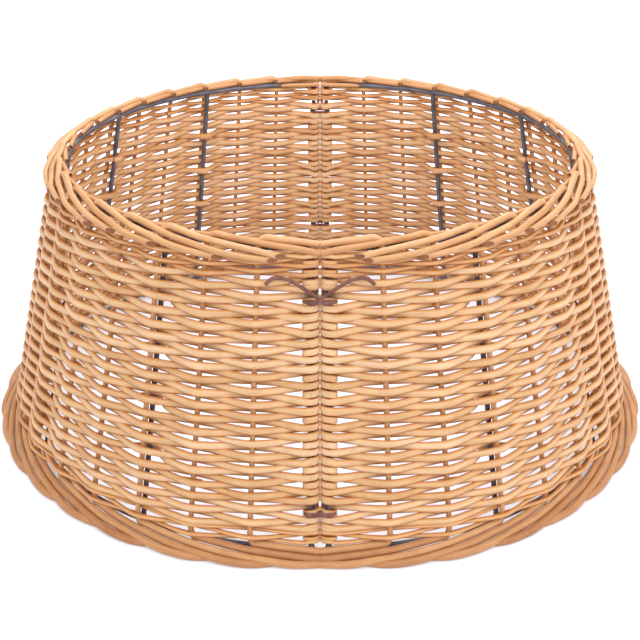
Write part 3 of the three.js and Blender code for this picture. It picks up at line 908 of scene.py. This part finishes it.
# Front laces: flat brown leather thongs, each looped round both steel edge rods and strapped
# over the seam. The upper one leaves two long tails that curl away over the weaving.
LACE_THICK = 0.75 * MM
LACE_HIGH = 1.6 * MM
LACE_SQUARE = 0.5
LACE_SIDES = 12
LOOP_RADIUS = 6 * MM
LOOP_FROM = math.radians(55)
LOOP_BY = math.radians(315)
LOOP_RINGS = 28
STRAP_DROP = 4.3 * MM
STRAP_ACROSS = np.array([0.5, 3, 6, 9, 11.6, 13.4, 14.2]) * MM
STRAP_OUT = np.array([9.2, 9.3, 9.1, 8.9, 8.0, 5.5, 2.0]) * MM
STRAP_HIGH = np.array([1.4, 1.9, 2.4, 2.5, 2.1, 1.6, 1.4]) * MM
STRAP_STEPS = 7
TAIL_ACROSS = np.array([1.2, 8, 15, 21.5, 27, 31.5, 36, 40, 43.5, 45.5]) * MM
TAIL_RISE = np.array([0.4, 4.9, 9.3, 13.2, 15.4, 16.3, 16.5, 15.4, 12.2, 9.8]) * MM
TAIL_HIGH = 1.75 * MM
TAIL_SEAM_OUT = 10.4 * MM
TAIL_OFF_WEAVE = 1.3 * MM
TAIL_ABOVE_STRAP = 2.2 * MM
TAIL_CLIMB = 0.58
TAIL_STEPS = 8
leather, leather_tree, leather_shader = node_material("lace_leather", 0.72)
leather_place = leather_tree.nodes.new("ShaderNodeTexCoord").outputs["Object"]
leather_tone = add_noise(leather_tree, leather_place, 130, 4, 0.6)
leather_colour = add_ramp(leather_tree, leather_tone, (
    (0.3, to_linear(96, 58, 50)), (0.55, to_linear(124, 78, 66)), (0.78, to_linear(150, 104, 88))))
leather_tree.links.new(leather_colour, leather_shader.inputs["Base Color"])
leather_pores = add_noise(leather_tree, leather_place, 1500, 3, 0.6)
add_bump(leather_tree, leather_pores, 0.5, 0.4 * MM, leather_shader)


def lace_height(row, place):
    spot = np.array([float(place)])
    return (weaver_height(row, spot)[0] + weaver_height(row + 1, spot)[0]) / 2


for name, row in (("front_lower_lace", FRONT_LACES[0]), ("front_upper_lace", FRONT_LACES[1])):
    z = lace_height(row, 0)
    bay = steel_radius(z) * math.pi / BAYS
    turn = LOOP_FROM - LOOP_BY * np.linspace(0, 1, LOOP_RINGS)
    loop = wall(0, 0, np.full(LOOP_RINGS, z))
    loop[:, 0] -= LOOP_RADIUS * np.cos(turn)
    loop = loop + edge_tilt(0) * (LOOP_RADIUS * np.sin(turn))[:, None]
    rods = [dict(points=loop, up=wall_up(np.zeros(len(loop))), thick=LACE_THICK,
                 high=LACE_HIGH, tone=0.5, square=LACE_SQUARE)]
    drop = STRAP_DROP + np.interp(STRAP_OUT / MM, [2, 8], [3, 1.6]) * MM
    strap = np.stack([(STRAP_ACROSS - SEAM_TO_ROD) / bay, STRAP_OUT, z - drop,
                      STRAP_HIGH], -1)
    curve = smooth_path(strap, STRAP_STEPS)
    rods.append(dict(points=wall(curve[:, 0], curve[:, 1], curve[:, 2]),
                     up=wall_up(curve[:, 0]), thick=LACE_THICK, high=curve[:, 3], tone=0.5,
                     square=LACE_SQUARE))
    if name == "front_upper_lace":
        place = (TAIL_ACROSS - SEAM_TO_ROD) / bay
        share = np.clip(place, 0, 1)
        surface = stake_out(1.0) + PASS + WEAVER_THICK + TAIL_OFF_WEAVE
        out = TAIL_SEAM_OUT + (surface - TAIL_SEAM_OUT) * share
        level = (z - STRAP_DROP + TAIL_ABOVE_STRAP + TAIL_RISE
                 + (out - TAIL_SEAM_OUT) * TAIL_CLIMB)
        curve = smooth_path(np.stack([place, out, level], -1), TAIL_STEPS)
        twist = np.linspace(0.5, -0.35, len(curve))[:, None]
        lay = wall_up(curve[:, 0]) + outward(curve[:, 0]) * twist
        rods.append(dict(points=wall(curve[:, 0], curve[:, 1], curve[:, 2]), up=lay,
                         thick=LACE_THICK, high=TAIL_HIGH, tone=0.5, square=LACE_SQUARE))
    piece = rods_object(f"right_{name}", rods, LACE_SIDES, [leather])
    place_pair(piece, f"leather_{name}", name)

# Front knots: a leather crossing drawn tight over the seam on each front lace, made of two
# small turns that lie over each other. They belong to the right half.
KNOT_OUT = 9.6 * MM
KNOT_RAISE = 0.6 * MM
KNOT_DEEP = 1.7 * MM
KNOT_HIGH = 1.7 * MM
KNOT_SQUARE = 0.6
KNOT_RINGS = 24
for name, row in (("front_lower_knot", FRONT_LACES[0]), ("front_upper_knot", FRONT_LACES[1])):
    z = lace_height(row, 0)
    seat = wall(0, KNOT_OUT, z - STRAP_DROP + KNOT_RAISE)
    seat[0] = 0
    turns = []
    for half_width, tilt in ((2.6, 0.5), (2.1, -0.45)):
        angle = np.linspace(0, 2 * math.pi, KNOT_RINGS + 1)[:-1]
        cross = np.array([math.cos(tilt), 0, math.sin(tilt)])
        loop = (seat + cross * (np.cos(angle) * half_width * MM)[:, None]
                + edge_tilt(0) * (np.sin(angle) * KNOT_DEEP)[:, None])
        lay = np.tile(np.cross(cross, edge_tilt(0)), (KNOT_RINGS, 1))
        turns.append(dict(points=loop, up=lay, thick=LACE_THICK, high=KNOT_HIGH, tone=0.5,
                          square=KNOT_SQUARE, ring=True))
    piece = rods_object("leather_" + name, turns, LACE_SIDES, [leather])
    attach(piece, "right_panel")
    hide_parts(name)

# Back ties: closed loops of the same leather round both back edge rods, on which the halves
# swing. They ride with the left half.
TIE_RINGS = 14
for name, row in (("back_lower_tie", BACK_LACES[0]), ("back_upper_tie", BACK_LACES[1])):
    z = lace_height(row, BAYS)
    radius = STEEL_RADIUS + CLEARANCE + LACE_THICK
    turn = math.pi / 2 - math.pi * np.linspace(0, 1, TIE_RINGS)
    right_half = wall(BAYS, 0, np.full(TIE_RINGS, z))
    right_half[:, 0] += radius * np.cos(turn)
    right_half = right_half + edge_tilt(BAYS) * (radius * np.sin(turn))[:, None]
    left_half = right_half[::-1] * np.array([-1, 1, 1])
    ring = np.concatenate([right_half, left_half])
    rod = dict(points=ring, up=np.tile(wall_up(float(BAYS)), (len(ring), 1)),
               thick=LACE_THICK, high=LACE_HIGH, tone=0.5, square=LACE_SQUARE, ring=True)
    piece = rods_object("leather_" + name, [rod], LACE_SIDES, [leather])
    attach(piece, "left_panel")
    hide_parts(name)
